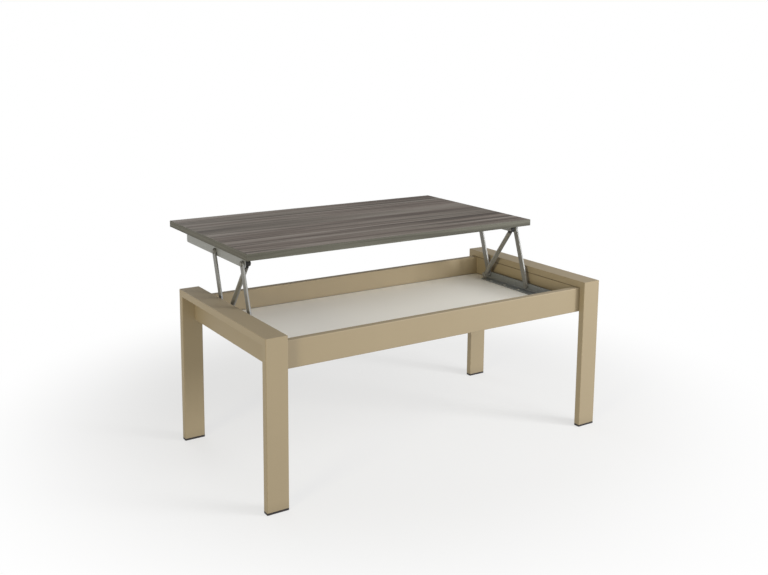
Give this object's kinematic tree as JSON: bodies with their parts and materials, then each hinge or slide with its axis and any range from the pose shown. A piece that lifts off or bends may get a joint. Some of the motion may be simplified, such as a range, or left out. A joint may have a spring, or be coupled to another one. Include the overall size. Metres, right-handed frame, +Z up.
{
  "type": "lift-top coffee table",
  "caption": "Coffee table on two flat-tube bridge frames with a shallow storage tray; its wood-grain top lifts and shifts on parallel arms with telescopic struts to dining height.",
  "frame": {"origin": "on the floor under the centre of the frame, the middle of the rectangle of the four feet", "axes": "+X along the table's length, +Y to the side that the raised top moves towards, +Z up; the rest pose has the top raised as in the picture"},
  "size_m": [1.1, 0.7852, 0.5989],
  "materials": {
    "lacquer": "satin champagne beige powder coat on steel tube",
    "foot_plastic": "black moulded plastic",
    "tray_board": "off-white melamine faced board",
    "top_laminate": "grey-brown wood-grain laminate on chipboard",
    "edge_band": "grey-brown wood-grain edge band",
    "arm_steel": "zinc plated flat steel",
    "bracket_steel": "zinc plated folded sheet steel",
    "fastener_steel": "zinc plated screws, pins and clips",
    "washer_nylon": "natural nylon",
    "strut_steel": "grey coated strut cylinder",
    "rod_chrome": "hard chromed rod",
    "black_nylon": "black moulded nylon"
  },
  "bodies": {
    "base": {"base_bracket_screws": "fastener_steel", "floor_screws": "fastener_steel", "floor_tabs": "lacquer", "front_left_foot": "foot_plastic", "front_left_leg": "lacquer", "front_rail": "lacquer", "front_right_foot": "foot_plastic", "front_right_leg": "lacquer", "left_base_bracket": "bracket_steel", "left_bridge_rail": "lacquer", "left_end_rail": "lacquer", "lower_front_pins": "fastener_steel", "lower_rear_pins": "fastener_steel", "lower_strut_clips": "fastener_steel", "lower_strut_spacers": "fastener_steel", "lower_washers": "washer_nylon", "rear_left_foot": "foot_plastic", "rear_left_leg": "lacquer", "rear_rail": "lacquer", "rear_right_foot": "foot_plastic", "rear_right_leg": "lacquer", "right_base_bracket": "bracket_steel", "right_bridge_rail": "lacquer", "right_end_rail": "lacquer", "tray_floor": "tray_board"},
    "left_front_arm": {"left_front_arm": "arm_steel"},
    "left_rear_arm": {"left_rear_arm": "arm_steel"},
    "right_front_arm": {"right_front_arm": "arm_steel"},
    "right_rear_arm": {"right_rear_arm": "arm_steel"},
    "top": {"front_edge_band": "edge_band", "left_edge_band": "edge_band", "left_top_bracket": "bracket_steel", "rear_edge_band": "edge_band", "right_edge_band": "edge_band", "right_top_bracket": "bracket_steel", "top_bracket_screws": "fastener_steel", "top_panel": "top_laminate", "upper_front_pins": "fastener_steel", "upper_rear_pins": "fastener_steel", "upper_strut_clips": "fastener_steel", "upper_strut_spacers": "fastener_steel", "upper_washers": "washer_nylon"},
    "left_strut_tube": {"left_strut_cylinder": "strut_steel", "left_strut_gland": "black_nylon"},
    "left_strut_slider": {"left_strut_rod": "rod_chrome", "left_strut_piston": "black_nylon", "left_strut_top_eye": "black_nylon"},
    "right_strut_tube": {"right_strut_cylinder": "strut_steel", "right_strut_gland": "black_nylon"},
    "right_strut_slider": {"right_strut_rod": "rod_chrome", "right_strut_piston": "black_nylon", "right_strut_top_eye": "black_nylon"}
  },
  "joints": [
    {"name": "lift", "type": "hinge", "parent": "base", "child": "left_front_arm", "pos_m": [-0.4725, -0.03648, 0.388], "axis": [1, 0, 0], "range_deg": [0, 101.73]},
    {"name": "left_rear_arm_turn", "type": "hinge", "parent": "base", "child": "left_rear_arm", "pos_m": [-0.4725, 0.1455, 0.388], "axis": [1, 0, 0], "range_deg": [0, 101.73]},
    {"name": "right_front_arm_turn", "type": "hinge", "parent": "base", "child": "right_front_arm", "pos_m": [0.4725, -0.03648, 0.388], "axis": [1, 0, 0], "range_deg": [0, 101.73]},
    {"name": "right_rear_arm_turn", "type": "hinge", "parent": "base", "child": "right_rear_arm", "pos_m": [0.4725, 0.1455, 0.388], "axis": [1, 0, 0], "range_deg": [0, 101.73]},
    {"name": "top_turn", "type": "hinge", "parent": "left_front_arm", "child": "top", "pos_m": [-0.4725, 0.02036, 0.56088], "axis": [1, 0, 0], "range_deg": [-101.73, 0]},
    {"name": "left_strut_tube_turn", "type": "hinge", "parent": "base", "child": "left_strut_tube", "pos_m": [-0.4566, 0.1455, 0.388], "axis": [1, 0, 0], "range_deg": [0, 50.87]},
    {"name": "left_strut_slider_turn", "type": "hinge", "parent": "top", "child": "left_strut_slider", "pos_m": [-0.4566, 0.02036, 0.56088], "axis": [1, 0, 0], "range_deg": [0, 50.87]},
    {"name": "right_strut_tube_turn", "type": "hinge", "parent": "base", "child": "right_strut_tube", "pos_m": [0.4566, 0.1455, 0.388], "axis": [1, 0, 0], "range_deg": [0, 50.87]},
    {"name": "right_strut_slider_turn", "type": "hinge", "parent": "top", "child": "right_strut_slider", "pos_m": [0.4566, 0.02036, 0.56088], "axis": [1, 0, 0], "range_deg": [0, 50.87]}
  ],
  "couplings": [
    {"joint": "left_rear_arm_turn", "follows": "lift", "ratio": 1},
    {"joint": "right_front_arm_turn", "follows": "lift", "ratio": 1},
    {"joint": "right_rear_arm_turn", "follows": "lift", "ratio": 1},
    {"joint": "top_turn", "follows": "lift", "ratio": -1},
    {"joint": "left_strut_tube_turn", "follows": "lift", "ratio": 0.5},
    {"joint": "left_strut_slider_turn", "follows": "lift", "ratio": 0.5},
    {"joint": "right_strut_tube_turn", "follows": "lift", "ratio": 0.5},
    {"joint": "right_strut_slider_turn", "follows": "lift", "ratio": 0.5}
  ]
}
